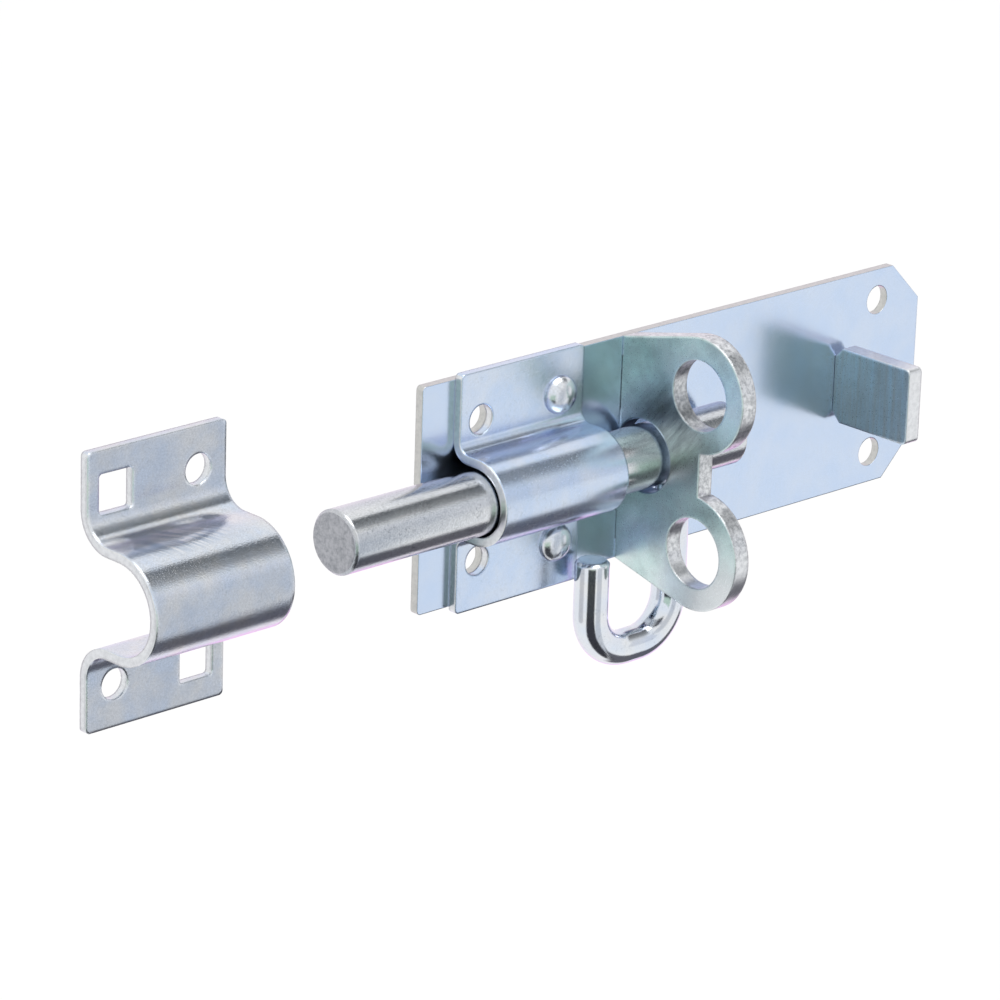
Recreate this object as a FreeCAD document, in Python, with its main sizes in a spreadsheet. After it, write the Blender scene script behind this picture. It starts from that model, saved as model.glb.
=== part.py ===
"""Padbolt: a round bolt that slides on a back plate and is locked by a padlock through an ear.

Frame: +X runs along the bolt towards its withdrawn end, +Y goes into the door, +Z is up.
The origin is the middle of the back plate's rear face. All sizes are in millimetres.
"""
import FreeCAD, Part
import os
from enum import IntEnum

import Sketcher
from FreeCAD import Vector

# Driving dimensions
DIMENSIONS = {
    # Back plate and its fixing holes
    "plate_length": 152.0,
    "plate_height": 50.4,
    "plate_thickness": 2.0,
    "plate_chamfer": 9.0,
    "fixing_hole": 6.6,
    "rear_hole_inset": 13.7,
    "rear_hole_pitch": 36.0,
    "front_hole_inset": 15.0,
    "front_hole_pitch": 31.4,
    # Bolt
    "rod_diameter": 14.0,
    "rod_length": 114.0,
    "rod_throw": 30.4,
    "rod_chamfer": 0.6,
    "rod_gap": 0.3,
    # Guide strap over the bolt and its rivets
    "guide_inset": 9.1,
    "guide_width": 35.5,
    "guide_height": 53.0,
    "guide_thickness": 2.0,
    "guide_clearance": 0.5,
    "guide_bend": 2.3,
    "rivet_inset": 6.8,
    "rivet_pitch": 33.2,
    "rivet_shank": 5.0,
    "rivet_head": 8.4,
    "rivet_head_height": 2.4,
    "rivet_shoulder": 6.6,
    "rivet_shoulder_height": 1.5,
    "rivet_crest": 3.0,
    "rivet_hole_clearance": 0.1,
    # Lock plate across the bolt
    "lock_inset": 58.1,
    "lock_thickness": 4.0,
    "lock_hole_clearance": 1.2,
    "lock_web": 8.7,
    "ear_out": 16.1,
    "ear_hole": 15.6,
    "ear_wall": 5.0,
    "notch_clearance": 1.1,
    "lock_tenon_inset": 4.4,
    "lock_tenon_height": 12.0,
    "tenon_clearance": 0.1,
    # Stop behind the bolt
    "stop_inset": 125.5,
    "stop_thickness": 4.0,
    "stop_height": 17.4,
    "stop_rise": 0.8,
    "stop_reach": 22.4,
    "stop_chamfer": 2.2,
    "stop_corner": 1.2,
    # Hook that turns with the bolt and straddles the lock plate
    "hook_bar": 7.6,
    "hook_root_gap": 1.8,
    "hook_play": 10.2,
    "hook_flat": 3.6,
    "hook_sweep_gap": 0.4,
    "hook_tip_gap": 3.7,
    "hook_tip_chamfer": 0.7,
    "hook_seat_gap": 0.2,
    # Keep on the door frame
    "keep_distance": 53.4,
    "keep_width": 35.7,
    "keep_height": 59.2,
    "keep_thickness": 2.0,
    "keep_clearance": 2.7,
    "keep_lift": 2.6,
    "keep_bend": 6.0,
    "keep_hole_pitch_along": 21.2,
    "keep_hole_pitch_across": 40.8,
    "keep_square_hole": 8.5,
    "keep_square_corner": 0.8,
    # Sheared corners of the plate and the two straps
    "sheet_corner": 1.0,
}

# Sizes that follow from the driving dimensions
DERIVED = {
    "rod_rise": "dimensions.rod_diameter / 2 + dimensions.rod_gap",
    "axis_height": "rod_rise + dimensions.plate_thickness",
    "rod_front": "dimensions.plate_length / 2 + dimensions.rod_throw",
    "guide_radius": "dimensions.rod_diameter / 2 + dimensions.guide_clearance",
    "guide_outer_radius": "guide_radius + dimensions.guide_thickness",
    "guide_outer_bend": "dimensions.guide_bend + dimensions.guide_thickness",
    "guide_centre": "dimensions.plate_length / 2 - dimensions.guide_inset - dimensions.guide_width / 2",
    "guide_hole_offset": "dimensions.guide_inset + dimensions.guide_width / 2 - dimensions.front_hole_inset",
    "rivet_offset": "dimensions.guide_width / 2 - dimensions.rivet_inset",
    "rivet_position": "guide_centre - rivet_offset",
    "rivet_hole": "dimensions.rivet_shank + 2 * dimensions.rivet_hole_clearance",
    "rivet_grip": "dimensions.guide_thickness + dimensions.plate_thickness",
    "front_hole_position": "dimensions.plate_length / 2 - dimensions.front_hole_inset",
    "rear_hole_position": "dimensions.plate_length / 2 - dimensions.rear_hole_inset",
    "lock_position": "dimensions.plate_length / 2 - dimensions.lock_inset",
    "lock_hole": "dimensions.rod_diameter + 2 * dimensions.lock_hole_clearance",
    "ear_radius": "dimensions.ear_hole / 2 + dimensions.ear_wall",
    "ear_height": "ear_radius + dimensions.notch_clearance + dimensions.hook_bar / 2",
    "ear_distance": "rod_rise + dimensions.ear_out",
    "ear_sweep": "sqrt(dimensions.ear_out^2 + ear_height^2) + ear_radius",
    "notch_reach": "lock_hole / 2 + dimensions.lock_web",
    "notch_distance": "rod_rise + notch_reach",
    "lock_tenon_top": "dimensions.plate_height / 2 - dimensions.lock_tenon_inset",
    "lock_tenon_bottom": "lock_tenon_top - dimensions.lock_tenon_height",
    "lock_slot_near": "lock_position + dimensions.tenon_clearance",
    "lock_slot_far": "lock_position - dimensions.lock_thickness - dimensions.tenon_clearance",
    "lock_slot_top": "lock_tenon_top + dimensions.tenon_clearance",
    "lock_slot_bottom": "lock_tenon_bottom - dimensions.tenon_clearance",
    "stop_position": "dimensions.stop_inset - dimensions.plate_length / 2",
    "stop_tenon_height": "dimensions.stop_height - 2 * dimensions.stop_chamfer",
    "stop_slot_near": "stop_position - dimensions.tenon_clearance",
    "stop_slot_far": "stop_position + dimensions.stop_thickness + dimensions.tenon_clearance",
    "stop_slot_half": "stop_tenon_height / 2 + dimensions.tenon_clearance",
    "stop_slot_top": "stop_slot_half + dimensions.stop_rise",
    "stop_slot_bottom": "stop_slot_half - dimensions.stop_rise",
    "hook_radius": "dimensions.hook_bar / 2",
    "hook_inside": "dimensions.hook_root_gap + dimensions.lock_thickness + dimensions.hook_play",
    "hook_inner_bend": "(hook_inside - dimensions.hook_flat) / 2",
    "hook_bend": "hook_inner_bend + hook_radius",
    "hook_corner_span": "hook_inner_bend - dimensions.hook_root_gap",
    "hook_corner_drop": "hook_inner_bend - sqrt(hook_inner_bend^2 - hook_corner_span^2)",
    "hook_depth": "ear_sweep + dimensions.hook_sweep_gap + hook_corner_drop + hook_radius",
    "hook_width": "hook_inside + dimensions.hook_bar",
    "hook_tip": "notch_reach + dimensions.hook_tip_gap",
    "hook_saddle": "dimensions.rod_diameter + 2 * dimensions.hook_seat_gap",
    "hook_position": "lock_position - dimensions.lock_thickness - dimensions.hook_root_gap - hook_radius",
    "keep_radius": "dimensions.rod_diameter / 2 + dimensions.keep_clearance",
    "keep_outer_radius": "keep_radius + dimensions.keep_thickness",
    "keep_outer_bend": "dimensions.keep_bend + dimensions.keep_thickness",
    "keep_arch_centre": "axis_height + dimensions.keep_lift",
    "keep_centre": "dimensions.plate_length / 2 + dimensions.keep_distance + dimensions.keep_width / 2",
}


class PointOf(IntEnum):
    """Sketcher's numbers for the points of an element."""

    START = 1
    END = 2
    CENTRE = 3


class AxisOf(IntEnum):
    """Sketcher's numbers for the sketch's own axes."""

    ALONG = -1
    UP = -2


START, END, CENTRE = PointOf
AXIS_ALONG, AXIS_UP = AxisOf
ORIGIN = (AXIS_ALONG, START)

# How close counts as the same
SAME = 1e-4

doc = FreeCAD.newDocument("padbolt")


def make_sheet(name, cells, prefix):
    """Writes one named cell per row."""
    sheet = doc.addObject("Spreadsheet::Sheet", name)
    for row, (alias, content) in enumerate(cells.items(), start=1):
        sheet.set(f"A{row}", alias)
        sheet.set(f"B{row}", f"{prefix}{content}")
        sheet.setAlias(f"B{row}", alias)
    doc.recompute()
    return sheet


dimensions = make_sheet("dimensions", DIMENSIONS, "")
derived = make_sheet("derived", DERIVED, "=")


def size(name):
    """Value of a named size."""
    sheet = dimensions if name in DIMENSIONS else derived
    return float(getattr(sheet, name))


def reference(name):
    """Name of a size as expressions write it."""
    sheet = "dimensions" if name in DIMENSIONS else "derived"
    return f"{sheet}.{name}"


def origin_feature(body, role):
    """Origin plane or axis of a body, found by its role."""
    return next(item for item in body.Origin.OriginFeatures if item.Role == role)


def new_body(label, x=None, y=None, z=None):
    """Body whose place follows named sizes, each given as an expression."""
    body = doc.addObject("PartDesign::Body", label)
    body.Label = label
    for axis, expression in (("x", x), ("y", y), ("z", z)):
        if expression:
            body.setExpression(f"Placement.Base.{axis}", expression)
    return body


def new_sketch(body, role, label):
    """Empty sketch on an origin plane of its body."""
    sketch = body.newObject("Sketcher::SketchObject", label)
    sketch.AttachmentSupport = [(origin_feature(body, role), "")]
    sketch.MapMode = "FlatFace"
    return sketch


def constrain(sketch, kind, *elements):
    """Adds a constraint that has no size."""
    sketch.addConstraint(Sketcher.Constraint(kind, *elements))


def drive(sketch, kind, elements, name, share=1.0):
    """Adds a dimension and ties it to a named size, or to a share of it."""
    index = sketch.addConstraint(Sketcher.Constraint(kind, *elements, size(name) * share))
    label = f"{name}_{index}"
    sketch.renameConstraint(index, label)
    sketch.setExpression(f"Constraints.{label}", f"{reference(name)} * {share}")


def add_line(sketch, start, end):
    """Straight line between two sketch points."""
    return sketch.addGeometry(Part.LineSegment(Vector(*start, 0), Vector(*end, 0)), False)


def add_arc(sketch, centre, radius, start_point, end_point):
    """Arc that runs counter-clockwise from one point to another."""
    circle = Part.Circle(Vector(*centre, 0), Vector(0, 0, 1), radius)
    first = circle.parameter(Vector(*start_point, 0))
    last = circle.parameter(Vector(*end_point, 0))
    return sketch.addGeometry(Part.ArcOfCircle(circle, first, last), False)


def add_rectangle(sketch, left, right, bottom, top):
    """Rectangle with upright sides; gives its bottom, right, top and left lines."""
    corners = [(left, bottom), (right, bottom), (right, top), (left, top)]
    lines = [add_line(sketch, corners[i], corners[(i + 1) % 4]) for i in range(4)]
    for i in range(4):
        constrain(sketch, "Coincident", lines[i], END, lines[(i + 1) % 4], START)
    for line in lines[0::2]:
        constrain(sketch, "Horizontal", line)
    for line in lines[1::2]:
        constrain(sketch, "Vertical", line)
    return lines


def add_centred_rectangle(sketch, width, height):
    """Rectangle about the sketch's origin with named sizes."""
    half_width = size(width) / 2
    half_height = size(height) / 2
    lines = add_rectangle(sketch, -half_width, half_width, -half_height, half_height)
    constrain(sketch, "Symmetric", lines[0], START, lines[2], START, *ORIGIN)
    drive(sketch, "DistanceX", (lines[0], START, lines[0], END), width)
    drive(sketch, "DistanceY", (lines[1], START, lines[1], END), height)


def add_circle(sketch, x, y, diameter):
    """Round outline of a named diameter at a place that the caller drives."""
    circle = Part.Circle(Vector(x, y, 0), Vector(0, 0, 1), size(diameter) / 2)
    index = sketch.addGeometry(circle, False)
    drive(sketch, "Diameter", (index,), diameter)
    return index


def left_of_origin(element, point):
    """Elements of a dimension from a point that lies left of, or below, the origin."""
    return (element, point, *ORIGIN)


def right_of_origin(element, point):
    """Elements of a dimension to a point that lies right of, or above, the origin."""
    return (*ORIGIN, element, point)


def pad(body, sketch, length, label, both_sides=False):
    """Pads a sketch by a named length."""
    feature = body.newObject("PartDesign::Pad", label)
    feature.Profile = sketch
    feature.setExpression("Length", reference(length))
    feature.SideType = "Symmetric" if both_sides else "One side"
    sketch.Visibility = False
    doc.recompute()
    return feature


def cut_through(body, sketch, label):
    """Cuts a sketch through the whole body, both ways, and checks that it took something away."""
    before = body.Shape.Volume
    feature = body.newObject("PartDesign::Pocket", label)
    feature.Profile = sketch
    feature.Type = "ThroughAll"
    feature.SideType = "Symmetric"
    sketch.Visibility = False
    doc.recompute()
    if body.Shape.Volume >= before:
        raise RuntimeError(f"{label} removes nothing")
    return feature


def mirror(body, features, role, label):
    """Repeats features on the other side of an origin plane."""
    feature = body.newObject("PartDesign::Mirrored", label)
    feature.Originals = features
    feature.MirrorPlane = (origin_feature(body, role), [""])
    body.Tip = feature
    doc.recompute()
    return feature


def edge_names(body, wanted):
    """Names of the body's edges that a test picks."""
    return [f"Edge{i}" for i, edge in enumerate(body.Shape.Edges, start=1) if wanted(edge)]


def dress(body, kind, edges, property_name, amount, label):
    """Fillet or chamfer of a named size on the given edges of the body so far."""
    base = body.Tip
    feature = body.newObject(kind, label)
    feature.Base = (base, edges)
    feature.setExpression(property_name, amount)
    doc.recompute()
    return feature


def runs_along(edge, direction):
    """Whether an edge is straight and parallel to a direction."""
    if not isinstance(edge.Curve, Part.Line):
        return False
    return edge.Curve.Direction.cross(direction).Length < SAME


def local_centre(body, edge):
    """Middle of an edge in the body's own frame."""
    return body.Placement.inverse().multVec(edge.BoundBox.Center)


def near(a, b):
    """Whether two lengths are the same to a hair."""
    return abs(a - b) < SAME


def arch_profile(body, label, radius, centre):
    """Outline of an arch that stands on the strap's rear face: straight legs and a half round."""
    sketch = new_sketch(body, "YZ_Plane", label)
    r = size(radius)
    c = size(centre)
    lower = add_line(sketch, (0, -r), (-c, -r))
    crown = add_arc(sketch, (-c, 0), r, (-c, r), (-c, -r))
    upper = add_line(sketch, (-c, r), (0, r))
    foot = add_line(sketch, (0, r), (0, -r))
    constrain(sketch, "Tangent", lower, END, crown, END)
    constrain(sketch, "Tangent", crown, START, upper, START)
    constrain(sketch, "Coincident", upper, END, foot, START)
    constrain(sketch, "Coincident", foot, END, lower, START)
    constrain(sketch, "Horizontal", lower)
    constrain(sketch, "Horizontal", upper)
    constrain(sketch, "Vertical", foot)
    constrain(sketch, "PointOnObject", foot, START, AXIS_UP)
    constrain(sketch, "PointOnObject", crown, CENTRE, AXIS_ALONG)
    drive(sketch, "Radius", (crown,), radius)
    drive(sketch, "DistanceX", left_of_origin(crown, CENTRE), centre)
    return sketch


def omega_strap(body, name, centre):
    """Strap bent to an omega: two flanges on the rear face and an arch between them."""
    flange = new_sketch(body, "XZ_Plane", f"{name}_flange_outline")
    add_centred_rectangle(flange, f"{name}_width", f"{name}_height")
    pad(body, flange, f"{name}_thickness", f"{name}_flanges")
    outside = arch_profile(body, f"{name}_arch_outside", f"{name}_outer_radius", centre)
    pad(body, outside, f"{name}_width", f"{name}_arch", both_sides=True)
    inside = arch_profile(body, f"{name}_arch_inside", f"{name}_radius", centre)
    cut_through(body, inside, f"{name}_tunnel")

    def bend_edge(edge, distance, radius):
        if not runs_along(edge, Vector(1, 0, 0)):
            return False
        middle = local_centre(body, edge)
        return near(middle.y, distance) and near(abs(middle.z), size(radius))

    front = edge_names(body, lambda e: bend_edge(e, -size(f"{name}_thickness"), f"{name}_outer_radius"))
    dress(body, "PartDesign::Fillet", front, "Radius", reference(f"{name}_bend"), f"{name}_front_bends")
    rear = edge_names(body, lambda e: bend_edge(e, 0.0, f"{name}_radius"))
    dress(body, "PartDesign::Fillet", rear, "Radius", reference(f"{name}_outer_bend"), f"{name}_rear_bends")

    def corner_edge(edge):
        if not runs_along(edge, Vector(0, 1, 0)):
            return False
        return near(abs(local_centre(body, edge).z), size(f"{name}_height") / 2)

    corners = edge_names(body, corner_edge)
    dress(body, "PartDesign::Fillet", corners, "Radius", reference("sheet_corner"), f"{name}_corners")


def make_back_plate():
    """Flat plate with cut rear corners, rounded front corners, fixing and rivet holes and tenon slots."""
    body = new_body("back_plate")
    outline = new_sketch(body, "XZ_Plane", "plate_outline")
    add_centred_rectangle(outline, "plate_length", "plate_height")
    pad(body, outline, "plate_thickness", "plate")

    def corner(edge, side):
        return runs_along(edge, Vector(0, 1, 0)) and near(edge.BoundBox.XMax, side * size("plate_length") / 2)

    rear = edge_names(body, lambda edge: corner(edge, 1))
    dress(body, "PartDesign::Chamfer", rear, "Size", reference("plate_chamfer"), "rear_corners")
    front = edge_names(body, lambda edge: corner(edge, -1))
    dress(body, "PartDesign::Fillet", front, "Radius", reference("sheet_corner"), "front_corners")

    holes = new_sketch(body, "XZ_Plane", "upper_holes")
    rows = (
        ("front_hole_position", "front_hole_pitch", "fixing_hole", left_of_origin),
        ("rear_hole_position", "rear_hole_pitch", "fixing_hole", right_of_origin),
        ("rivet_position", "rivet_pitch", "rivet_hole", left_of_origin),
    )
    for position, pitch, diameter, side in rows:
        sign = 1 if side is right_of_origin else -1
        hole = add_circle(holes, sign * size(position), size(pitch) / 2, diameter)
        drive(holes, "DistanceX", side(hole, CENTRE), position)
        drive(holes, "DistanceY", right_of_origin(hole, CENTRE), pitch, 0.5)
    slot_ends = (-size("lock_slot_near"), -size("lock_slot_far"))
    slot = add_rectangle(holes, *slot_ends, size("lock_slot_bottom"), size("lock_slot_top"))
    drive(holes, "DistanceX", left_of_origin(slot[0], START), "lock_slot_near")
    drive(holes, "DistanceX", left_of_origin(slot[0], END), "lock_slot_far")
    drive(holes, "DistanceY", right_of_origin(slot[0], START), "lock_slot_bottom")
    drive(holes, "DistanceY", right_of_origin(slot[2], START), "lock_slot_top")
    upper = cut_through(body, holes, "upper_cutouts")
    mirror(body, [upper], "XY_Plane", "lower_cutouts")

    stop_slot = new_sketch(body, "XZ_Plane", "stop_slot_outline")
    slot_ends = (-size("stop_slot_bottom"), size("stop_slot_top"))
    slot = add_rectangle(stop_slot, size("stop_slot_near"), size("stop_slot_far"), *slot_ends)
    drive(stop_slot, "DistanceX", right_of_origin(slot[0], START), "stop_slot_near")
    drive(stop_slot, "DistanceX", right_of_origin(slot[0], END), "stop_slot_far")
    drive(stop_slot, "DistanceY", left_of_origin(slot[0], START), "stop_slot_bottom")
    drive(stop_slot, "DistanceY", right_of_origin(slot[2], START), "stop_slot_top")
    cut_through(body, stop_slot, "stop_slot")
    return body


def make_bolt_guide():
    """Strap that holds the bolt on the plate, with fixing and rivet holes in its flanges."""
    body = new_body("bolt_guide", x="-derived.guide_centre", y="-dimensions.plate_thickness")
    omega_strap(body, "guide", "rod_rise")
    holes = new_sketch(body, "XZ_Plane", "upper_flange_holes")
    fixing = add_circle(holes, -size("guide_hole_offset"), size("front_hole_pitch") / 2, "fixing_hole")
    drive(holes, "DistanceX", left_of_origin(fixing, CENTRE), "guide_hole_offset")
    drive(holes, "DistanceY", right_of_origin(fixing, CENTRE), "front_hole_pitch", 0.5)
    rivet = add_circle(holes, size("rivet_offset"), size("rivet_pitch") / 2, "rivet_hole")
    drive(holes, "DistanceX", right_of_origin(rivet, CENTRE), "rivet_offset")
    drive(holes, "DistanceY", right_of_origin(rivet, CENTRE), "rivet_pitch", 0.5)
    upper = cut_through(body, holes, "upper_flange_cutouts")
    mirror(body, [upper], "XY_Plane", "lower_flange_cutouts")
    return body


def make_guide_rivet(label, side):
    """Rivet with a two-step dome on the guide and a tail flush with the plate's rear face."""
    height = f"{side} * dimensions.rivet_pitch / 2"
    body = new_body(label, x="-derived.rivet_position", y="-derived.rivet_grip", z=height)
    section = new_sketch(body, "XY_Plane", f"{label}_section")
    shank = size("rivet_shank") / 2
    head = size("rivet_head") / 2
    grip = size("rivet_grip")
    shoulder = (size("rivet_shoulder") / 2, -size("rivet_shoulder_height"))
    crest = (size("rivet_crest") / 2, -size("rivet_head_height"))
    corners = [(0, crest[1]), (0, grip), (shank, grip), (shank, 0), (head, 0), shoulder, crest]
    count = len(corners)
    lines = [add_line(section, corners[i], corners[(i + 1) % count]) for i in range(count)]
    axis, tail, wall, seat, rim, crown, top = lines
    for i in range(count):
        constrain(section, "Coincident", lines[i], END, lines[(i + 1) % count], START)
    constrain(section, "PointOnObject", axis, START, AXIS_UP)
    constrain(section, "PointOnObject", seat, START, AXIS_ALONG)
    for line in (axis, wall):
        constrain(section, "Vertical", line)
    for line in (tail, seat, top):
        constrain(section, "Horizontal", line)
    drive(section, "DistanceY", right_of_origin(tail, START), "rivet_grip")
    drive(section, "DistanceX", right_of_origin(wall, START), "rivet_shank", 0.5)
    drive(section, "DistanceX", right_of_origin(rim, START), "rivet_head", 0.5)
    drive(section, "DistanceX", right_of_origin(crown, START), "rivet_shoulder", 0.5)
    drive(section, "DistanceY", left_of_origin(crown, START), "rivet_shoulder_height")
    drive(section, "DistanceX", right_of_origin(top, START), "rivet_crest", 0.5)
    drive(section, "DistanceY", left_of_origin(axis, START), "rivet_head_height")
    turned = body.newObject("PartDesign::Revolution", f"{label}_turned")
    turned.Profile = section
    turned.ReferenceAxis = (section, ["V_Axis"])
    turned.Angle = 360.0
    section.Visibility = False
    doc.recompute()
    return body


def make_lock_plate():
    """Plate across the bolt: two padlock ears, the notch between them, the bolt's hole and two tenons."""
    body = new_body("lock_plate", x="-derived.lock_position", y="-dimensions.plate_thickness")
    outline = new_sketch(body, "YZ_Plane", "lock_outline")
    half_root = size("plate_height") / 2
    radius = size("ear_radius")
    ear = Vector(-size("ear_distance"), size("ear_height"), 0)
    notch = -size("notch_distance")
    notch_half = ear.y - (radius**2 - (ear.x - notch) ** 2) ** 0.5
    # Each flank is tangent to its ear; the tangent constraint moves this first guess to its place
    touch = Vector(ear.x, ear.y + radius, 0)
    root = add_line(outline, (0, -half_root), (0, half_root))
    upper_flank = add_line(outline, (0, half_root), (touch.x, touch.y))
    upper_ear = add_arc(outline, (ear.x, ear.y), radius, (touch.x, touch.y), (notch, notch_half))
    floor = add_line(outline, (notch, notch_half), (notch, -notch_half))
    lower_ear = add_arc(outline, (ear.x, -ear.y), radius, (notch, -notch_half), (touch.x, -touch.y))
    lower_flank = add_line(outline, (touch.x, -touch.y), (0, -half_root))
    constrain(outline, "Coincident", root, END, upper_flank, START)
    constrain(outline, "Tangent", upper_flank, END, upper_ear, START)
    constrain(outline, "Coincident", upper_ear, END, floor, START)
    constrain(outline, "Coincident", floor, END, lower_ear, START)
    constrain(outline, "Tangent", lower_ear, END, lower_flank, START)
    constrain(outline, "Coincident", lower_flank, END, root, START)
    constrain(outline, "Symmetric", root, START, root, END, *ORIGIN)
    constrain(outline, "Vertical", root)
    constrain(outline, "Vertical", floor)
    constrain(outline, "Symmetric", upper_ear, CENTRE, lower_ear, CENTRE, AXIS_ALONG)
    constrain(outline, "Equal", upper_ear, lower_ear)
    drive(outline, "DistanceY", (root, START, root, END), "plate_height")
    drive(outline, "DistanceX", left_of_origin(upper_ear, CENTRE), "ear_distance")
    drive(outline, "DistanceY", right_of_origin(upper_ear, CENTRE), "ear_height")
    drive(outline, "Radius", (upper_ear,), "ear_radius")
    drive(outline, "DistanceX", left_of_origin(floor, START), "notch_distance")
    pad(body, outline, "lock_thickness", "lock_body")

    tenon = new_sketch(body, "YZ_Plane", "tenon_outline")
    tenon_ends = (size("lock_tenon_bottom"), size("lock_tenon_top"))
    lines = add_rectangle(tenon, 0, size("plate_thickness"), *tenon_ends)
    constrain(tenon, "PointOnObject", lines[0], START, AXIS_UP)
    drive(tenon, "DistanceX", (lines[0], START, lines[0], END), "plate_thickness")
    drive(tenon, "DistanceY", right_of_origin(lines[0], START), "lock_tenon_bottom")
    drive(tenon, "DistanceY", right_of_origin(lines[2], START), "lock_tenon_top")
    upper_tenon = pad(body, tenon, "lock_thickness", "upper_tenon")
    mirror(body, [upper_tenon], "XY_Plane", "lower_tenon")

    bolt_hole = new_sketch(body, "YZ_Plane", "bolt_hole_outline")
    hole = add_circle(bolt_hole, -size("rod_rise"), 0, "lock_hole")
    constrain(bolt_hole, "PointOnObject", hole, CENTRE, AXIS_ALONG)
    drive(bolt_hole, "DistanceX", left_of_origin(hole, CENTRE), "rod_rise")
    cut_through(body, bolt_hole, "bolt_hole")

    ear_hole = new_sketch(body, "YZ_Plane", "ear_hole_outline")
    hole = add_circle(ear_hole, ear.x, ear.y, "ear_hole")
    drive(ear_hole, "DistanceX", left_of_origin(hole, CENTRE), "ear_distance")
    drive(ear_hole, "DistanceY", right_of_origin(hole, CENTRE), "ear_height")
    upper_hole = cut_through(body, ear_hole, "upper_ear_hole")
    mirror(body, [upper_hole], "XY_Plane", "lower_ear_hole")
    return body


def make_end_stop():
    """Small plate that stops the bolt's rear end, with its root corners cut back to a tenon."""
    rise = "dimensions.stop_rise"
    body = new_body("end_stop", x="derived.stop_position", y="-dimensions.plate_thickness", z=rise)
    outline = new_sketch(body, "YZ_Plane", "stop_outline")
    half = size("stop_height") / 2
    half_tenon = size("stop_tenon_height") / 2
    cut = size("stop_chamfer")
    reach = size("stop_reach")
    depth = size("plate_thickness")
    upper = [(-reach, half), (-cut, half), (0, half_tenon), (depth, half_tenon)]
    corners = upper + [(x, -z) for x, z in reversed(upper)]
    count = len(corners)
    lines = [add_line(outline, corners[i], corners[(i + 1) % count]) for i in range(count)]
    for i in range(count):
        constrain(outline, "Coincident", lines[i], END, lines[(i + 1) % count], START)
    for i in (0, 2, 4):
        constrain(outline, "Horizontal", lines[i])
    # The outline is even about its own middle
    for i in (0, 1, 3):
        constrain(outline, "Symmetric", lines[i], START, lines[count - 1 - i], START, AXIS_ALONG)
    constrain(outline, "PointOnObject", lines[2], START, AXIS_UP)
    constrain(outline, "PointOnObject", lines[5], START, AXIS_UP)
    drive(outline, "DistanceX", left_of_origin(lines[0], START), "stop_reach")
    drive(outline, "DistanceX", left_of_origin(lines[1], START), "stop_chamfer")
    drive(outline, "DistanceX", right_of_origin(lines[3], START), "plate_thickness")
    drive(outline, "DistanceY", right_of_origin(lines[0], START), "stop_height", 0.5)
    drive(outline, "DistanceY", right_of_origin(lines[3], START), "stop_tenon_height", 0.5)
    pad(body, outline, "stop_thickness", "stop")

    def outer_corner(edge):
        return runs_along(edge, Vector(1, 0, 0)) and near(local_centre(body, edge).y, -reach)

    outer = edge_names(body, outer_corner)
    dress(body, "PartDesign::Fillet", outer, "Radius", reference("stop_corner"), "outer_corners")
    return body


def make_bolt_rod():
    """Round bar with chamfered ends."""
    body = new_body("bolt_rod", x="-derived.rod_front", y="-derived.axis_height")
    section = new_sketch(body, "YZ_Plane", "rod_section")
    circle = add_circle(section, 0, 0, "rod_diameter")
    constrain(section, "Coincident", circle, CENTRE, *ORIGIN)
    pad(body, section, "rod_length", "bar")
    ends = edge_names(body, lambda edge: isinstance(edge.Curve, Part.Circle))
    dress(body, "PartDesign::Chamfer", ends, "Size", reference("rod_chamfer"), "bar_ends")
    return body


def make_hook_handle():
    """Round bar bent to a U that straddles the lock plate, its root seated on the bolt."""
    body = new_body("hook_handle", x="-derived.hook_position", y="-derived.axis_height")
    section = new_sketch(body, "XY_Plane", "hook_section")
    circle = add_circle(section, 0, 0, "hook_bar")
    constrain(section, "Coincident", circle, CENTRE, *ORIGIN)

    path = new_sketch(body, "XZ_Plane", "hook_path")
    bend = size("hook_bend")
    depth = size("hook_depth")
    width = size("hook_width")
    start = depth - bend
    root = add_line(path, (0, 0), (0, -start))
    root_bend = add_arc(path, (-bend, -start), bend, (-bend, -depth), (0, -start))
    bottom = add_line(path, (-bend, -depth), (bend - width, -depth))
    tip_bend = add_arc(path, (bend - width, -start), bend, (-width, -start), (bend - width, -depth))
    tip = add_line(path, (-width, -start), (-width, -size("hook_tip")))
    constrain(path, "Coincident", root, START, *ORIGIN)
    constrain(path, "Tangent", root, END, root_bend, END)
    constrain(path, "Tangent", root_bend, START, bottom, START)
    constrain(path, "Tangent", bottom, END, tip_bend, END)
    constrain(path, "Tangent", tip_bend, START, tip, START)
    constrain(path, "Vertical", root)
    constrain(path, "Horizontal", bottom)
    constrain(path, "Vertical", tip)
    constrain(path, "Equal", root_bend, tip_bend)
    drive(path, "Radius", (root_bend,), "hook_bend")
    drive(path, "DistanceY", left_of_origin(bottom, START), "hook_depth")
    drive(path, "DistanceX", left_of_origin(tip, START), "hook_width")
    drive(path, "DistanceY", left_of_origin(tip, END), "hook_tip")
    doc.recompute()

    bar = body.newObject("PartDesign::AdditivePipe", "bent_bar")
    bar.Profile = section
    bar.Spine = (path, [f"Edge{i + 1}" for i in range(path.GeometryCount)])
    section.Visibility = False
    path.Visibility = False
    doc.recompute()

    saddle = new_sketch(body, "YZ_Plane", "saddle_outline")
    circle = add_circle(saddle, 0, 0, "hook_saddle")
    constrain(saddle, "Coincident", circle, CENTRE, *ORIGIN)
    cut_through(body, saddle, "saddle")

    def tip_edge(edge):
        return isinstance(edge.Curve, Part.Circle) and near(local_centre(body, edge).z, -size("hook_tip"))

    rim = edge_names(body, tip_edge)
    dress(body, "PartDesign::Chamfer", rim, "Size", reference("hook_tip_chamfer"), "tip_edge")
    return body


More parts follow.
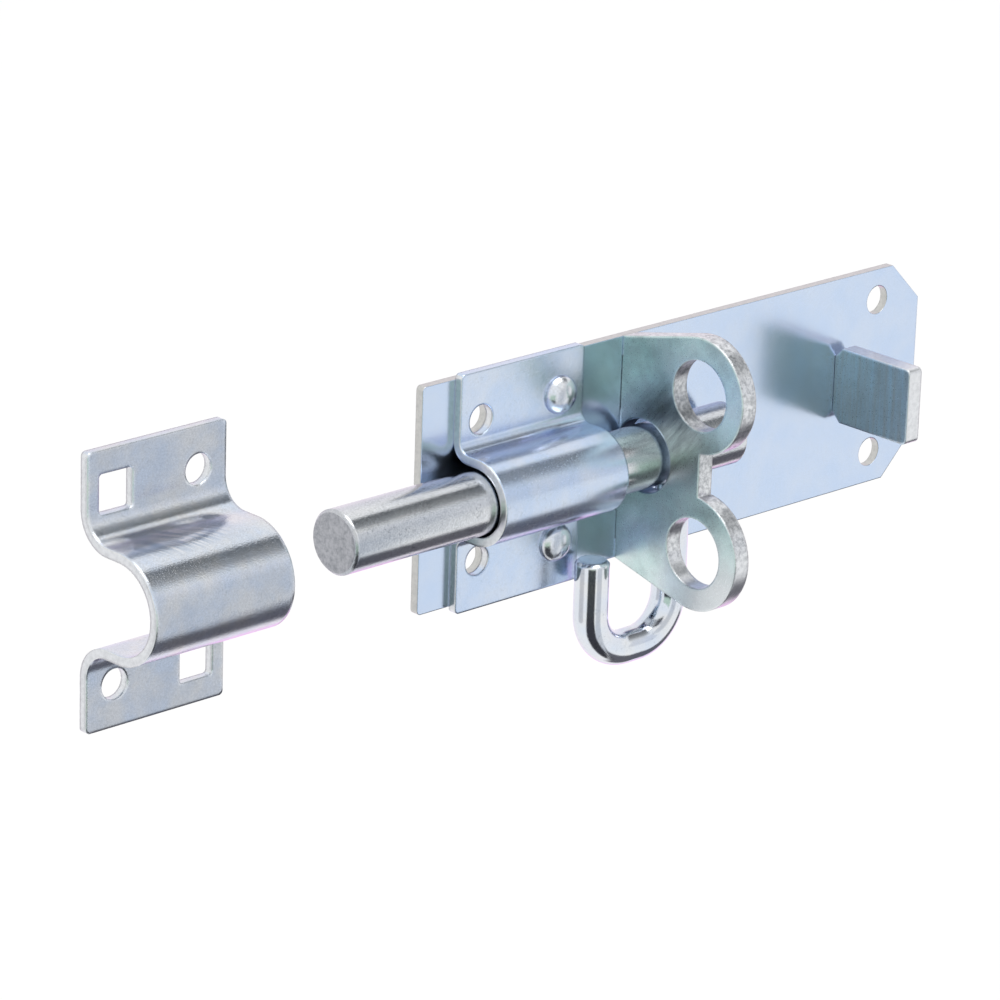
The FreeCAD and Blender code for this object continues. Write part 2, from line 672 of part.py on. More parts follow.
def make_keep():
    """Strap that receives the bolt, with a square and a round hole in each flange, half a turn apart."""
    body = new_body("keep", x="-derived.keep_centre")
    omega_strap(body, "keep", "keep_arch_centre")
    holes = new_sketch(body, "XZ_Plane", "keep_upper_holes")
    along = size("keep_hole_pitch_along") / 2
    across = size("keep_hole_pitch_across") / 2
    half = size("keep_square_hole") / 2
    round_hole = add_circle(holes, along, across, "fixing_hole")
    drive(holes, "DistanceX", right_of_origin(round_hole, CENTRE), "keep_hole_pitch_along", 0.5)
    drive(holes, "DistanceY", right_of_origin(round_hole, CENTRE), "keep_hole_pitch_across", 0.5)
    square = add_rectangle(holes, -along - half, half - along, across - half, across + half)
    middle = holes.addGeometry(Part.Point(Vector(-along, across, 0)), True)
    constrain(holes, "Symmetric", square[0], START, square[2], START, middle, START)
    drive(holes, "DistanceX", left_of_origin(middle, START), "keep_hole_pitch_along", 0.5)
    drive(holes, "DistanceY", right_of_origin(middle, START), "keep_hole_pitch_across", 0.5)
    drive(holes, "DistanceX", (square[0], START, square[0], END), "keep_square_hole")
    drive(holes, "DistanceY", (square[1], START, square[1], END), "keep_square_hole")
    upper = cut_through(body, holes, "keep_upper_cutouts")
    turned = body.newObject("PartDesign::PolarPattern", "keep_cutouts")
    turned.Originals = [upper]
    turned.Axis = (origin_feature(body, "Y_Axis"), [""])
    turned.Angle = 360.0
    turned.Occurrences = 2
    body.Tip = turned
    doc.recompute()

    def square_corner(edge):
        if not runs_along(edge, Vector(0, 1, 0)):
            return False
        return near(abs(abs(local_centre(body, edge).z) - across), half)

    corners = edge_names(body, square_corner)
    dress(body, "PartDesign::Fillet", corners, "Radius", reference("keep_square_corner"), "square_corners")
    return body


def check_document():
    """Stops at the first object that failed to compute."""
    for item in doc.Objects:
        if "Invalid" in item.State or "Error" in item.State:
            raise RuntimeError(f"{item.Name} failed: {item.State}")


def export(bodies):
    """Writes each piece's solid to its own file."""
    os.makedirs("parts", exist_ok=True)
    for body in bodies:
        if body.Shape.isNull() or not body.Shape.isValid():
            raise RuntimeError(f"{body.Label} has no valid shape")
        if len(body.Shape.Solids) != 1:
            raise RuntimeError(f"{body.Label} is not one solid")
    for body in bodies:
        body.Shape.exportStep(f"parts/{body.Label}.step")
        print(body.Label, round(body.Shape.Volume, 2))


bodies = [
    make_back_plate(),
    make_bolt_guide(),
    make_guide_rivet("guide_rivet_upper", 1),
    make_guide_rivet("guide_rivet_lower", -1),
    make_lock_plate(),
    make_end_stop(),
    make_bolt_rod(),
    make_hook_handle(),
    make_keep(),
]
doc.recompute()
check_document()
export(bodies)
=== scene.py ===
"""Padbolt: finishes of the zinc-plated steel pieces, and the studio that shows them."""
import math
from typing import NamedTuple

import bpy
from bpy.props import FloatProperty, FloatVectorProperty, PointerProperty
from mathutils import Matrix, Quaternion, Vector


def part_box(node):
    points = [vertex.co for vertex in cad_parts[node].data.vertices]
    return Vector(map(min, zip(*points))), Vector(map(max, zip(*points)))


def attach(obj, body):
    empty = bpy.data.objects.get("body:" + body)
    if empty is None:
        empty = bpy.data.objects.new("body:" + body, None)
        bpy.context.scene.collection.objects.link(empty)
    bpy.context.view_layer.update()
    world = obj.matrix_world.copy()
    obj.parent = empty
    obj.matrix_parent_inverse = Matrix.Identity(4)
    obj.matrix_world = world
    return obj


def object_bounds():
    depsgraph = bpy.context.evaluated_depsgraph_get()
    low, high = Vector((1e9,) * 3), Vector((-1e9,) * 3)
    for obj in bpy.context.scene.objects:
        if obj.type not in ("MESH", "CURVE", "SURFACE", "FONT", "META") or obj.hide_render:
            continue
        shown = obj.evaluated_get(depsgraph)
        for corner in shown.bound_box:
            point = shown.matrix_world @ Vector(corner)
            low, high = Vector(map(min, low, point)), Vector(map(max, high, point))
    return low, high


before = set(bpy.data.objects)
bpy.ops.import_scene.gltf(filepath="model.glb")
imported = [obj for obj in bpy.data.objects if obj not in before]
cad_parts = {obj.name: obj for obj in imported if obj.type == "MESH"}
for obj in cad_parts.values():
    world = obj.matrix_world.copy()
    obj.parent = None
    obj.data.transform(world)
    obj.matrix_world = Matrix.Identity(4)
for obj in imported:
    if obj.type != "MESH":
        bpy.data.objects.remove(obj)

bl_info = {
    "name": "Padbolt",
    "version": (1, 0, 0),
    "blender": (4, 5, 0),
    "location": "View3D > Sidebar > Padbolt",
    "description": "Dresses a zinc-plated padbolt and sets up its studio",
    "category": "Object",
}

CAD_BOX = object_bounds()
MM = 0.001
WHITE = (1.0, 1.0, 1.0)

# Stops of the ramps, each a position and a level
PATCH_STOPS = ((0.36, 0.0), (0.66, 1.0))
SMEAR_STOPS = ((0.46, 0.0), (0.66, 1.0))
PIT_STOPS = ((0.34, 1.0), (0.48, 0.0))
GATHER_STOPS = ((0.42, 0.0), (0.66, 1.0))
TEAR_STOPS = ((0.36, 1.0), (0.58, 0.0))
SHEARED_FACE_STOPS = ((0.30, 1.0), (0.60, 0.0))
SHEARED_END_STOPS = ((0.60, 0.0), (0.85, 1.0))
BRUSH_STOPS = ((0.3, 0.35), (0.7, 0.8))
SCRATCH_STOPS = ((0.42, 0.0), (0.62, 1.0))
CARD_FADE = ((0.42, 1.0), (0.5, 0.0))
CARD_GRADE = ((0.05, 0.0), (0.45, 0.75), (0.95, 1.0), (1.0, 0.0))

# Relief of the metal
WAVE_SIZE = 11.0 * MM
WAVE_DEPTH = 0.25 * MM
CRYSTAL_DEPTH = 0.09 * MM
BEVEL_SAMPLES = 8

# Brush marks on the lock plate, and scratches and a painted reflection on the keep
BRUSH_SIZE = 0.7 * MM
BRUSH_STRETCH = (1.0, 9.0, 1.0)
BRUSH_TURN = (math.radians(-50.0), 0.0, 0.0)
PALE_SHARE = 0.8
SCRATCH_SIZE = 0.55 * MM
SCRATCH_STRETCH = (1.0, 14.0, 14.0)
SCRATCH_TURN = (0.0, 0.0, math.radians(35.0))
# Share of the keep's patch, a painted reflection with scratches
SCRATCHED_REFLECTION_SHARE = 0.85

# Meshes of the rivets' domes
DOME_SEGMENTS = 40
DOME_RINGS = 20
SMOOTH_ANGLE = math.radians(40.0)

# Studio
FLOOR_SIZE = 12.0
FLOOR_WHITE = (0.9, 0.9, 0.9)
FLOOR_GLOW = 0.8
SOFTBOX_PLACE = (0.0, -0.3, 1.6)
SOFTBOX_SIZE = 1.2
SOFTBOX_POWER = 12.0
SENSOR_WIDTH = 36.0
CARD_SLANT = math.radians(45.0)
SAGE = (0.58, 0.72, 0.60)
BLACK = (0.05, 0.05, 0.06)
CHARCOAL = (0.10, 0.11, 0.12)
DARK_GREY = (0.14, 0.14, 0.16)
MID_GREY = (0.66, 0.66, 0.68)
COOL_GREY = (0.67, 0.69, 0.73)
PALE_GREY = (0.78, 0.79, 0.83)
VIOLET = (1.08, 0.76, 1.08)


# Settings that a user would change
def colour_setting(name, description, default):
    """Colour property with a name and a description."""
    return FloatVectorProperty(
        name=name, description=description, subtype="COLOR", size=3, min=0.0, max=1.0, default=default
    )


class PlatingSettings(bpy.types.PropertyGroup):
    """Colours and grain of the zinc plating, with the painted shade in the lock plate's bolt hole and the
    painted reflection on the keep.
    """

    silver: colour_setting("Silver", "Bright zinc where the plating is thin", (0.80, 0.82, 0.84))
    sheet_blue: colour_setting("Sheet blue", "Pale blue of back plate and guide", (0.59, 0.71, 0.90))
    cross_teal: colour_setting("Cross plate teal", "Teal grey of the lock plate", (0.72, 0.91, 0.90))
    slate: colour_setting("Slate", "Blue grey of the end stop", (0.71, 0.87, 1.0))
    # On the keep this blue grey is a painted reflection of the flange; on the bolt it tints cloudy patches
    worn_and_reflection_blue: colour_setting("Worn blue", "Blue grey of worn patches on keep and bolt", (0.38, 0.46, 0.57))
    cut_grey: colour_setting("Cut grey", "Dull grey of the bolt's sawn ends", (0.46, 0.47, 0.50))
    rust: colour_setting("Rust", "Warm grey of the stop's streaks and the plate's edges", (0.62, 0.62, 0.60))
    soot: colour_setting("Soot", "Dark flecks and patches in the plating", (0.10, 0.12, 0.14))
    grain: FloatProperty(
        name="Grain", description="Size of the plating's fine crystals", subtype="DISTANCE", unit="LENGTH",
        default=0.35 * MM, min=0.05 * MM, max=2.0 * MM,
    )
    mottle: FloatProperty(
        name="Mottle", description="Size of the cloudy patches", subtype="DISTANCE", unit="LENGTH",
        default=7.0 * MM, min=1.0 * MM, max=50.0 * MM,
    )
    edge_round: FloatProperty(
        name="Edge round", description="Radius to which tumbling wore the sheared edges",
        subtype="DISTANCE", unit="LENGTH", default=0.80 * MM, min=0.0, max=2.0 * MM,
    )
    edge_roughness: FloatProperty(
        name="Edge roughness", description="Roughness of a sheared edge", subtype="FACTOR",
        default=0.3, min=0.0, max=1.0,
    )
    rim: colour_setting("Rim", "Violet cast of the passivation at a glancing view", (1.0, 0.92, 1.0))
    # Painted shade: the blue grey laid inside the lock plate's bolt hole
    painted_bore_shade: colour_setting("Bore blue", "Blue grey in the lock plate's bolt hole", (0.42, 0.54, 0.64))
    bore_margin: FloatProperty(
        name="Bore margin", description="How far round the bolt the shade of its hole reaches",
        subtype="DISTANCE", unit="LENGTH", default=1.5 * MM,
    )
    # The keep's patch is a painted reflection of the flange, with scratches
    patch_size: FloatVectorProperty(
        name="Patch size", description="Half sizes of the scratched patch on the keep", subtype="XYZ",
        unit="LENGTH", size=3, default=(15.0 * MM, 6.0 * MM, 6.0 * MM),
    )


class RivetSettings(bpy.types.PropertyGroup):
    """Smooth domes of the two rivets."""

    head_height: FloatProperty(
        name="Head height", description="How far a rivet's head stands off the guide", subtype="DISTANCE",
        unit="LENGTH", default=2.4 * MM,
    )
    cover: FloatProperty(
        name="Cover", description="How far the smooth dome lies outside the plain head", subtype="DISTANCE",
        unit="LENGTH", default=0.1 * MM,
    )


class StageSettings(bpy.types.PropertyGroup):
    """Camera, floor and room light."""

    camera_place: FloatVectorProperty(
        name="Camera place", description="Where the camera stands", subtype="TRANSLATION", unit="LENGTH",
        size=3, default=(-0.78273, -0.76120, 0.36539),
    )
    azimuth: FloatProperty(
        name="Azimuth", description="Turn of the view from straight on", subtype="ANGLE",
        default=math.radians(43.87),
    )
    elevation: FloatProperty(
        name="Elevation", description="Downward tilt of the view", subtype="ANGLE",
        default=math.radians(19.35),
    )
    roll: FloatProperty(
        name="Roll", description="Turn of the picture about the line of sight", subtype="ANGLE",
        default=math.radians(1.86),
    )
    lens: FloatProperty(
        name="Lens", description="Focal length in millimetres on a 36 mm sensor", default=190.04, min=10.0
    )
    floor_drop: FloatProperty(
        name="Floor drop", description="How far the floor lies below the object", subtype="DISTANCE",
        unit="LENGTH", default=0.55,
    )
    room_light: FloatProperty(
        name="Room light", description="Strength of the light from all sides", default=1.1, min=0.0
    )


# Nodes of a material
def new_material(name):
    """Material with no nodes yet."""
    material = bpy.data.materials.new(name)
    material.use_nodes = True
    material.node_tree.nodes.clear()
    return material


def feed(tree, socket, value):
    """Gives a socket a value or another node's output."""
    if isinstance(value, bpy.types.NodeSocket):
        tree.links.new(value, socket)
    else:
        socket.default_value = value


def add_node(tree, kind, settings=None, **inputs):
    """New node with its settings; an input is a value or another node's output."""
    node = tree.nodes.new(kind)
    for name, value in (settings or {}).items():
        setattr(node, name, value)
    for name, value in inputs.items():
        feed(tree, node.inputs[name.replace("_", " ")], value)
    return node


def rgba(colour):
    """Colour with full cover, as sockets take it."""
    return (*colour, 1.0)


def calculate(tree, operation, first, second=0.0):
    """Arithmetic on two values."""
    node = add_node(tree, "ShaderNodeMath", {"operation": operation})
    for socket, value in zip(node.inputs, (first, second)):
        feed(tree, socket, value)
    return node.outputs[0]


def ramp(tree, value, stops):
    """Grey levels along a scale from 0 to 1, each stop a position and a level."""
    node = tree.nodes.new("ShaderNodeValToRGB")
    elements = node.color_ramp.elements
    while len(elements) < len(stops):
        elements.new(0.5)
    for element, (position, level) in zip(elements, stops):
        element.position = position
        element.color = (level, level, level, 1.0)
    tree.links.new(value, node.inputs["Fac"])
    return node.outputs["Color"]


def blend(tree, factor, first, second, mode="MIX"):
    """Mix of two colours."""
    node = add_node(tree, "ShaderNodeMix", {"data_type": "RGBA", "blend_type": mode})
    for socket, value in zip((node.inputs[0], node.inputs[6], node.inputs[7]), (factor, first, second)):
        feed(tree, socket, value)
    return node.outputs[2]


def mix_shaders(tree, factor, first, second):
    """Mix of two surfaces, given as nodes."""
    mix = add_node(tree, "ShaderNodeMixShader", Fac=factor)
    tree.links.new(first.outputs[0], mix.inputs[1])
    tree.links.new(second.outputs[0], mix.inputs[2])
    return mix.outputs[0]


def show(tree, shader, kind="ShaderNodeOutputMaterial"):
    """Makes a shader the surface of a material or world."""
    output = tree.nodes.new(kind)
    tree.links.new(shader, output.inputs["Surface"])


def cloud(tree, place, size, detail=3.0, roughness=0.55, stretch=(1.0, 1.0, 1.0), turn=(0.0, 0.0, 0.0)):
    """Cloudy noise whose patches have a size in metres, lengthened along turned axes."""
    turned = add_node(tree, "ShaderNodeMapping", {"vector_type": "TEXTURE"}, Vector=place, Rotation=turn)
    scaled = add_node(
        tree, "ShaderNodeMapping", Vector=turned.outputs["Vector"],
        Scale=tuple(1.0 / (size * share) for share in stretch),
    )
    noise = add_node(
        tree, "ShaderNodeTexNoise", {"noise_dimensions": "3D"}, Vector=scaled.outputs["Vector"], Scale=1.0,
        Detail=detail, Roughness=roughness,
    )
    return noise.outputs["Fac"]


def nearness(tree, place, centre, reach, soft):
    """Share from 0 to 1 of being near a point; reach is the size of the spot along each axis."""
    mapping = add_node(
        tree, "ShaderNodeMapping", {"vector_type": "TEXTURE"}, Vector=place, Location=centre, Scale=reach
    )
    length = add_node(
        tree, "ShaderNodeVectorMath", {"operation": "LENGTH"}, Vector=mapping.outputs["Vector"]
    )
    return ramp(tree, length.outputs["Value"], ((1.0 - soft, 1.0), (1.0, 0.0)))


def face_share(tree, normal, axis):
    """How squarely a surface faces along one axis, from 0 to 1."""
    parts = add_node(tree, "ShaderNodeSeparateXYZ", Vector=normal)
    return calculate(tree, "ABSOLUTE", parts.outputs[axis])


# Zinc plating
class Finish(NamedTuple):
    """How the plating looks on one kind of piece."""

    body: tuple
    patch: tuple
    patch_share: float = 0.5
    stretch: tuple = (1.0, 1.0, 1.0)
    smudge: float = 0.0
    grain: float = 0.14
    relief: float = 0.14
    flecks: float = 0.2
    roughness: float = 0.25
    wave: float = 0.15
    rounding: float = 1.0
    face_axis: str = ""
    end_axis: str = ""
    edge: tuple = ()
    tear: float = 0.2


def sheared_share(tree, normal, finish):
    """Where the metal was sheared: off the axis that its faces look along, or on ends along an axis."""
    if finish.face_axis:
        return ramp(tree, face_share(tree, normal, finish.face_axis), SHEARED_FACE_STOPS)
    return ramp(tree, face_share(tree, normal, finish.end_axis), SHEARED_END_STOPS)


def bore_shade(tree, place, body):
    """Painted shade, blue grey, inside the lock plate's bolt hole, where little light gets in."""
    plating = bpy.context.scene.padbolt_plating
    low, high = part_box("bolt_rod")
    centre = (low + high) / 2
    reach = (high.z - low.z) / 2 + plating.bore_margin
    inside = nearness(tree, place, centre, (1.0, reach, reach), soft=0.02)
    return blend(tree, inside, body, rgba(plating.painted_bore_shade))


def lock_marks_and_bore_shade(tree, place, body):
    """Brushed dark patch by the upper ear, pale lower ear and painted blue grey shade in the bolt hole of
    the lock plate.
    """
    plating = bpy.context.scene.padbolt_plating
    low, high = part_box("lock_plate")
    middle = (low + high) / 2
    depth = high.y - low.y
    height = high.z - low.z
    dark_centre = (middle.x, low.y + 0.55 * depth, middle.z + 0.14 * height)
    dark_reach = (1.0, 0.42 * depth, 0.22 * height)
    dark = nearness(tree, place, dark_centre, dark_reach, soft=0.8)
    streaks = cloud(tree, place, BRUSH_SIZE, stretch=BRUSH_STRETCH, turn=BRUSH_TURN)
    brushed = calculate(tree, "MULTIPLY", dark, ramp(tree, streaks, BRUSH_STOPS))
    body = blend(tree, brushed, body, rgba(plating.soot))
    pale_centre = (middle.x, low.y, low.z)
    pale_reach = (1.0, 0.75 * depth, 0.3 * height)
    pale = nearness(tree, place, pale_centre, pale_reach, soft=0.6)
    body = blend(tree, calculate(tree, "MULTIPLY", pale, PALE_SHARE), body, rgba(plating.silver))
    return bore_shade(tree, place, body)


def scratches_and_painted_reflection(tree, place, body):
    """Painted reflection of the flange: a blue grey patch on top of the keep's arch, with slanting
    scratches.
    """
    plating = bpy.context.scene.padbolt_plating
    low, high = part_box("keep")
    shoulder = (high.y + low.y) / 2
    top = (high.y - low.y) / 2
    centre = (low.x + (high.x - low.x) * 0.4, shoulder, top)
    spot = nearness(tree, place, centre, plating.patch_size, soft=0.5)
    lines = cloud(tree, place, SCRATCH_SIZE, detail=2.0, stretch=SCRATCH_STRETCH, turn=SCRATCH_TURN)
    scratches = ramp(tree, lines, SCRATCH_STOPS)
    worn_and_reflected = blend(tree, scratches, rgba(plating.worn_and_reflection_blue), rgba(plating.silver))
    return blend(tree, calculate(tree, "MULTIPLY", spot, SCRATCHED_REFLECTION_SHARE), body, worn_and_reflected)


def plated_material(name, finish, extra=None):
    """Zinc plating: cloudy body, fine crystals, dark flecks and sheared edges."""
    plating = bpy.context.scene.padbolt_plating
    material = new_material(name)
    tree = material.node_tree
    places = tree.nodes.new("ShaderNodeTexCoord")
    place = places.outputs["Object"]

    # Cloudy patches of the passivated zinc, and darker smudges
    clouds = cloud(tree, place, plating.mottle, detail=6.0, stretch=finish.stretch)
    patches = calculate(tree, "MULTIPLY", ramp(tree, clouds, PATCH_STOPS), finish.patch_share)
    body = blend(tree, patches, rgba(finish.body), rgba(finish.patch))
    smears = cloud(tree, place, plating.mottle * 1.3, detail=8.0, roughness=0.68)
    smears = calculate(tree, "MULTIPLY", ramp(tree, smears, SMEAR_STOPS), finish.smudge)
    body = blend(tree, smears, body, rgba(plating.soot))

    # Fine crystals, and flecks that gather in clouds
    crystals = cloud(tree, place, plating.grain, detail=3.0, roughness=0.6)
    sparkle = ramp(tree, crystals, ((0.32, 1.0 - finish.grain), (0.68, 1.0)))
    body = blend(tree, 1.0, body, sparkle, "MULTIPLY")
    spots = cloud(tree, place, plating.grain * 2.2, detail=6.0, roughness=0.75)
    pits = ramp(tree, spots, PIT_STOPS)
    gather = ramp(tree, cloud(tree, place, plating.mottle * 0.6, detail=3.0), GATHER_STOPS)
    fleck_share = calculate(tree, "MULTIPLY", calculate(tree, "MULTIPLY", pits, gather), finish.flecks)
    body = blend(tree, fleck_share, body, rgba(plating.soot))

    # Sheared edges have their own colour and roughness, with darker streaks
    gloss = ramp(tree, crystals, ((0.25, finish.roughness * 0.8), (0.75, finish.roughness * 1.3)))
    if finish.face_axis or finish.end_axis:
        edge = sheared_share(tree, places.outputs["Normal"], finish)
        tears = cloud(tree, place, plating.grain * 3.0, detail=7.0, roughness=0.75)
        torn = calculate(tree, "MULTIPLY", ramp(tree, tears, TEAR_STOPS), finish.tear)
        sheared = blend(tree, torn, rgba(finish.edge or plating.silver), rgba(plating.soot))
        body = blend(tree, edge, body, sheared)
        gloss = blend(tree, edge, gloss, rgba((plating.edge_roughness,) * 3))
    # Extra marks; on the lock plate and the keep these include painted shade and a painted reflection
    if extra:
        body = extra(tree, place, body)

    # Rounded edges, slow waves of the rolled metal and the crystals' relief
    radius = plating.edge_round * finish.rounding
    rounded = add_node(tree, "ShaderNodeBevel", {"samples": BEVEL_SAMPLES}, Radius=radius)
    waves = add_node(
        tree, "ShaderNodeBump", Strength=finish.wave, Distance=WAVE_DEPTH,
        Height=cloud(tree, place, WAVE_SIZE, detail=1.0), Normal=rounded.outputs["Normal"],
    )
    relief = add_node(
        tree, "ShaderNodeBump", Strength=finish.relief, Distance=CRYSTAL_DEPTH, Height=crystals,
        Normal=waves.outputs["Normal"],
    )
    surface = add_node(
        tree, "ShaderNodeBsdfPrincipled", Base_Color=body, Metallic=1.0, Roughness=gloss,
        Normal=relief.outputs["Normal"], Specular_Tint=rgba(plating.rim),
    )
    show(tree, surface.outputs["BSDF"])
    return material


def dress(node, material):
    """Gives a piece its finish."""
    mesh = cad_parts[node].data
    mesh.materials.clear()
    mesh.materials.append(material)


# Operators, one for each piece or group of like pieces
class PADBOLT_OT_back_plate(bpy.types.Operator):
    """Pale blue finish of the back plate"""

    bl_idname = "padbolt.back_plate"
    bl_label = "Finish back plate"

    def execute(self, context):
        plating = context.scene.padbolt_plating
        finish = Finish(
            plating.sheet_blue, plating.silver, patch_share=0.2, grain=0.06, relief=0.06, flecks=0.0,
            roughness=0.2, rounding=0.5, face_axis="Y", edge=plating.rust,
        )
        dress("back_plate", plated_material("plate_zinc", finish))
        return {"FINISHED"}


class PADBOLT_OT_bolt_guide(bpy.types.Operator):
    """Pale blue finish of the guide strap"""

    bl_idname = "padbolt.bolt_guide"
    bl_label = "Finish guide"

    def execute(self, context):
        plating = context.scene.padbolt_plating
        finish = Finish(
            plating.sheet_blue, plating.silver, patch_share=0.4, grain=0.08, relief=0.08, roughness=0.22,
            end_axis="X",
        )
        dress("bolt_guide", plated_material("guide_zinc", finish))
        return {"FINISHED"}


def add_dome(rivet, head_height, cover):
    """Smooth dome over a rivet's plain head: the front half of a flattened sphere."""
    low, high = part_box(rivet)
    seat = low.y + head_height
    radius = (high.x - low.x) / 2 + cover
    middle = ((low.x + high.x) / 2, seat, (low.z + high.z) / 2)
    bpy.ops.object.select_all(action="DESELECT")
    bpy.ops.mesh.primitive_uv_sphere_add(
        segments=DOME_SEGMENTS, ring_count=DOME_RINGS, radius=1.0, location=middle,
        rotation=(math.pi / 2, 0.0, 0.0),
    )
    dome = bpy.context.object
    dome.name = f"{rivet}_dome"
    dome.scale = (radius, radius, head_height + 2 * cover)
    bpy.ops.object.transform_apply(location=True, rotation=True, scale=True)
    bpy.ops.object.mode_set(mode="EDIT")
    bpy.ops.mesh.select_all(action="SELECT")
    bpy.ops.mesh.bisect(plane_co=middle, plane_no=(0.0, 1.0, 0.0), use_fill=True, clear_outer=True)
    bpy.ops.object.mode_set(mode="OBJECT")
    bpy.ops.object.shade_auto_smooth(angle=SMOOTH_ANGLE)
    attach(dome, "housing")
    return dome


class PADBOLT_OT_rivets(bpy.types.Operator):
    """Smooth domed heads and bright finish of the two rivets"""

    bl_idname = "padbolt.rivets"
    bl_label = "Finish rivets"

    def execute(self, context):
        plating = context.scene.padbolt_plating
        rivets = context.scene.padbolt_rivets
        finish = Finish(plating.silver, plating.sheet_blue, patch_share=0.4, roughness=0.2)
        zinc = plated_material("rivet_zinc", finish)
        for name in ("guide_rivet_upper", "guide_rivet_lower"):
            dress(name, zinc)
            add_dome(name, rivets.head_height, rivets.cover).data.materials.append(zinc)
        return {"FINISHED"}


class PADBOLT_OT_lock_plate(bpy.types.Operator):
    """Mottled teal finish of the lock plate, with bright sheared edges"""

    bl_idname = "padbolt.lock_plate"
    bl_label = "Finish lock plate"

    def execute(self, context):
        plating = context.scene.padbolt_plating
        finish = Finish(
            plating.cross_teal, plating.silver, patch_share=0.4, smudge=0.3, flecks=0.1, roughness=0.3,
            face_axis="X", tear=0.65,
        )
        dress("lock_plate", plated_material("lock_zinc", finish, lock_marks_and_bore_shade))
        return {"FINISHED"}


class PADBOLT_OT_end_stop(bpy.types.Operator):
    """Slate finish of the end stop, drawn in upright streaks"""

    bl_idname = "padbolt.end_stop"
    bl_label = "Finish end stop"

    def execute(self, context):
        plating = context.scene.padbolt_plating
        finish = Finish(
            plating.slate, plating.rust, patch_share=0.6, stretch=(1.0, 0.2, 3.0), smudge=0.15, flecks=0.0,
            roughness=0.3, face_axis="X",
        )
        dress("end_stop", plated_material("stop_zinc", finish))
        return {"FINISHED"}


class PADBOLT_OT_bolt(bpy.types.Operator):
    """Bright drawn finish of the bolt and its hook"""

    bl_idname = "padbolt.bolt"
    bl_label = "Finish bolt and hook"

    def execute(self, context):
        plating = context.scene.padbolt_plating
        rod = Finish(
            plating.silver, plating.worn_and_reflection_blue, stretch=(6.0, 1.0, 1.0), grain=0.22, relief=0.3, flecks=0.7,
            roughness=0.13, end_axis="X", edge=plating.cut_grey, tear=0.5,
        )
        dress("bolt_rod", plated_material("rod_zinc", rod))
        hook = Finish(
            plating.silver, plating.sheet_blue, grain=0.05, relief=0.05, flecks=0.3, roughness=0.11, wave=0.1
        )
        dress("hook_handle", plated_material("hook_zinc", hook))
        return {"FINISHED"}


class PADBOLT_OT_keep(bpy.types.Operator):
    """Grained silver finish of the keep"""

    bl_idname = "padbolt.keep"
    bl_label = "Finish keep"

    def execute(self, context):
        plating = context.scene.padbolt_plating
        finish = Finish(
            plating.silver, plating.sheet_blue, patch_share=0.6, smudge=0.08, grain=0.16, relief=0.36,
            roughness=0.12, wave=0.05, rounding=1.4, end_axis="X",
        )
        dress("keep", plated_material("keep_zinc", finish, scratches_and_painted_reflection))
        return {"FINISHED"}


# Studio
def seen_share(tree):
    """Whether a ray shows a surface to the eye, in a reflection or through a card."""
    path = tree.nodes.new("ShaderNodeLightPath")
    seen = calculate(tree, "MAXIMUM", path.outputs["Is Camera Ray"], path.outputs["Is Glossy Ray"])
    return calculate(tree, "MAXIMUM", seen, path.outputs["Is Transmission Ray"])


def backdrop_material(name, shade, glow):
    """Matt surface that shows white to the eye and in reflections, and still takes a shadow."""
    material = new_material(name)
    tree = material.node_tree
    matt = add_node(tree, "ShaderNodeBsdfDiffuse", Color=rgba(shade))
    lit = add_node(tree, "ShaderNodeEmission", Color=rgba(WHITE), Strength=1.0)
    share = calculate(tree, "MULTIPLY", seen_share(tree), glow)
    show(tree, mix_shaders(tree, share, matt, lit))
    return material


def add_floor(height):
    """White floor far below the object."""
    bpy.ops.object.select_all(action="DESELECT")
    bpy.ops.mesh.primitive_plane_add(size=FLOOR_SIZE, location=(0.0, 0.0, height))
    floor = bpy.context.object
    floor.name = "floor"
    floor.data.materials.append(backdrop_material("floor_white", FLOOR_WHITE, FLOOR_GLOW))


def light_room(scene, strength):
    """White room that lights the object from all sides and shows as plain white."""
    world = bpy.data.worlds.new("studio")
    scene.world = world
    world.use_nodes = True
    tree = world.node_tree
    tree.nodes.clear()
    around = add_node(tree, "ShaderNodeBackground", Color=rgba(WHITE), Strength=strength)
    white = add_node(tree, "ShaderNodeBackground", Color=rgba(WHITE), Strength=1.0)
    show(tree, mix_shaders(tree, seen_share(tree), around, white), "ShaderNodeOutputWorld")


def add_softbox(name, centre, aim, size, power):
    """Square soft light."""
    light = bpy.data.lights.new(name, "AREA")
    light.shape = "RECTANGLE"
    light.size = size
    light.size_y = size
    light.energy = power
    lamp = bpy.data.objects.new(name, light)
    lamp.location = centre
    lamp.rotation_mode = "QUATERNION"
    lamp.rotation_quaternion = (Vector(aim) - Vector(centre)).to_track_quat("-Z", "Y")
    bpy.context.scene.collection.objects.link(lamp)


class Card(NamedTuple):
    """Card out of the picture: its place, what it faces, its size and shade, and how it fades."""

    name: str
    centre: tuple
    aim: tuple
    width: float
    height: float
    shade: tuple
    roll: float = 0.0
    graded: bool = False


def card_material(name, shade, graded):
    """Card of one shade that fades out towards its edges, or from its upper edge to its lower."""
    material = new_material(name)
    tree = material.node_tree
    places = tree.nodes.new("ShaderNodeTexCoord")
    parts = add_node(tree, "ShaderNodeSeparateXYZ", Vector=places.outputs["Object"])
    across = calculate(tree, "ABSOLUTE", parts.outputs["X"])
    if graded:
        grade = ramp(tree, calculate(tree, "ADD", parts.outputs["Y"], 0.5), CARD_GRADE)
        solid = calculate(tree, "MULTIPLY", ramp(tree, across, CARD_FADE), grade)
    else:
        along = calculate(tree, "ABSOLUTE", parts.outputs["Y"])
        solid = ramp(tree, calculate(tree, "MAXIMUM", across, along), CARD_FADE)
    clear = tree.nodes.new("ShaderNodeBsdfTransparent")
    even = add_node(tree, "ShaderNodeEmission", Color=rgba(shade), Strength=1.0)
    show(tree, mix_shaders(tree, solid, clear, even))
    return material


